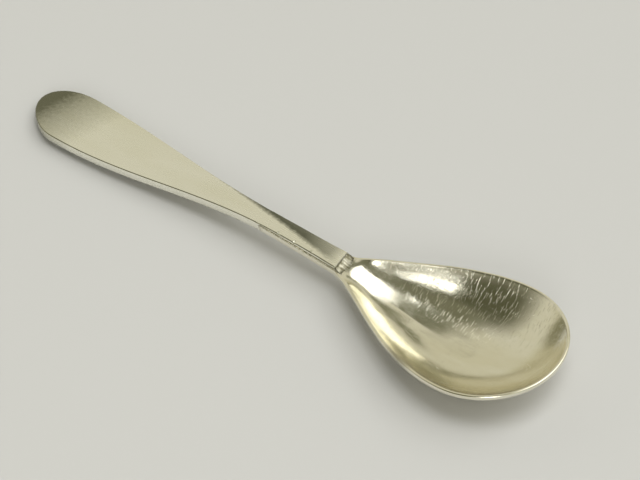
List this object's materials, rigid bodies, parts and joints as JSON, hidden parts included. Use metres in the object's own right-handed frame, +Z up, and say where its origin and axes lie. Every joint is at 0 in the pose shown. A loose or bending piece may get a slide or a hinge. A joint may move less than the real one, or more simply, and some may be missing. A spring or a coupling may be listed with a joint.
{
  "type": "small serving spoon",
  "caption": "Small silver spoon with an egg-shaped bowl and a flat, arched handle that lies over a tongue on the bowl and is soldered down.",
  "frame": {"origin": "on the table, under the middle of the spoon's length", "axes": "+X from the tip of the handle to the tip of the bowl, +Y across the spoon, +Z up, with the bowl open upwards"},
  "size_m": [0.098, 0.0234, 0.0079],
  "materials": {
    "silver_bowl": "gloss",
    "silver_handle": "gloss",
    "solder": "satin"
  },
  "bodies": {
    "root": {"bowl": "silver_bowl", "handle": "silver_handle", "solder_joint": "solder"}
  },
  "joints": []
}
